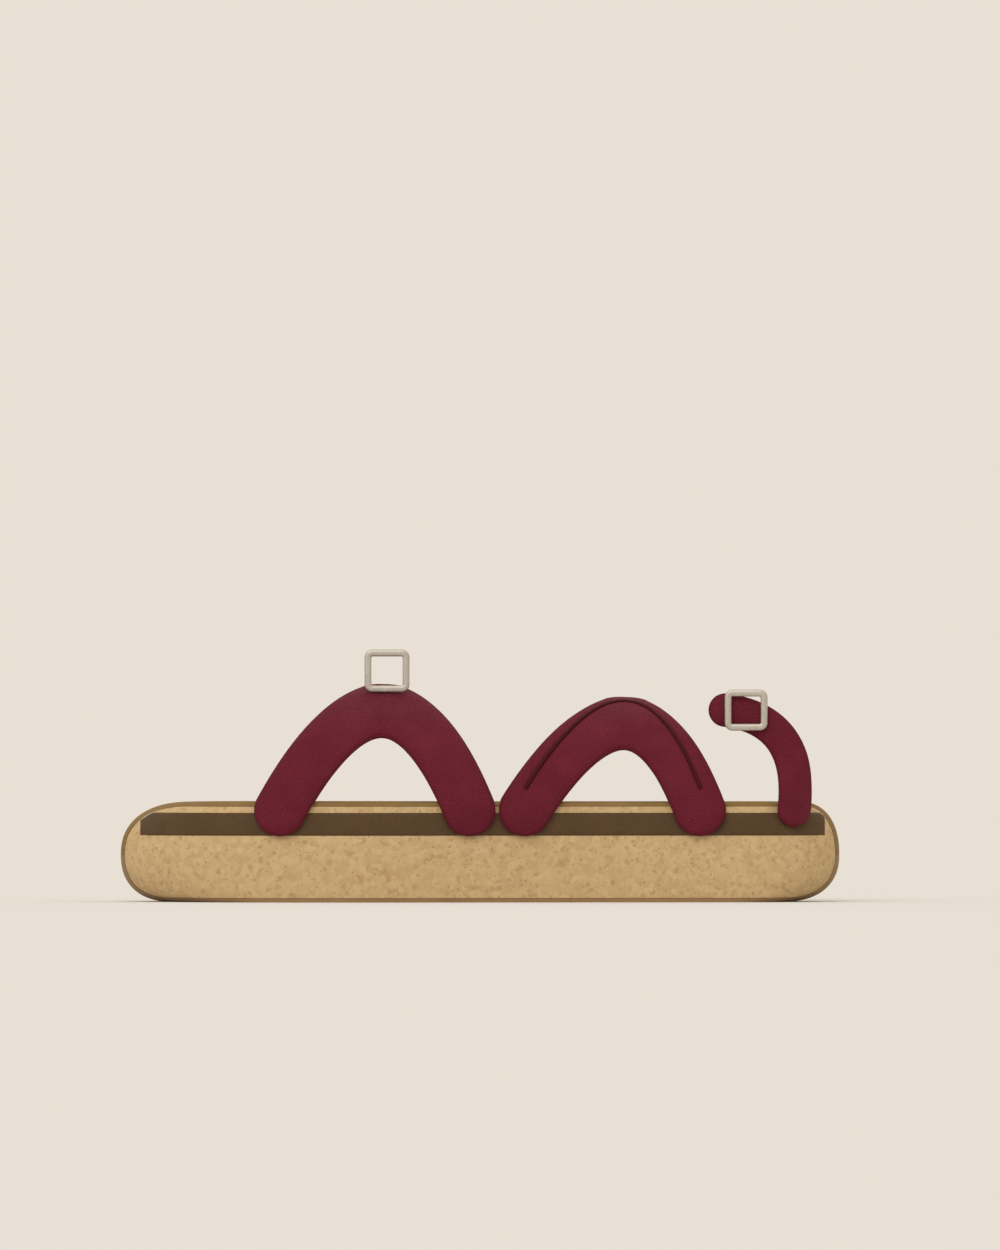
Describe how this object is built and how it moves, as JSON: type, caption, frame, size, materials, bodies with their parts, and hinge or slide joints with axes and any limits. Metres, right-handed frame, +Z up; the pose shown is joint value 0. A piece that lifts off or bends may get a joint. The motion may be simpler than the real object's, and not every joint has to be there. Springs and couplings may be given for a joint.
{
  "type": "sport sandal",
  "caption": "Left strap sandal with a thick cork sole, dark side strip, padded arched straps over forefoot and instep, and a buckled heel strap.",
  "frame": {"origin": "on the floor, under the middle of the sandal's bounding box", "axes": "+Z up from the floor, +X from toe to heel, -Y towards the outer (lateral) side"},
  "size_m": [0.27, 0.1048, 0.0947],
  "materials": {
    "outsole_rubber": "matt brown rubber",
    "cork": "fine-grained agglomerated cork",
    "footbed_leather": "brushed brown leather",
    "rand_leather": "smooth dark brown leather",
    "strap_leather": "matt burgundy leather, padded",
    "buckle_metal": "satin, warm grey"
  },
  "bodies": {
    "root": {"outsole": "outsole_rubber", "midsole": "cork", "insole": "footbed_leather", "rand_lateral": "rand_leather", "rand_medial": "rand_leather", "forefoot_strap": "strap_leather", "instep_strap": "strap_leather", "heel_strap_lateral": "strap_leather", "heel_strap_medial": "strap_leather", "forefoot_buckle": "buckle_metal", "heel_buckle": "buckle_metal"}
  },
  "joints": []
}
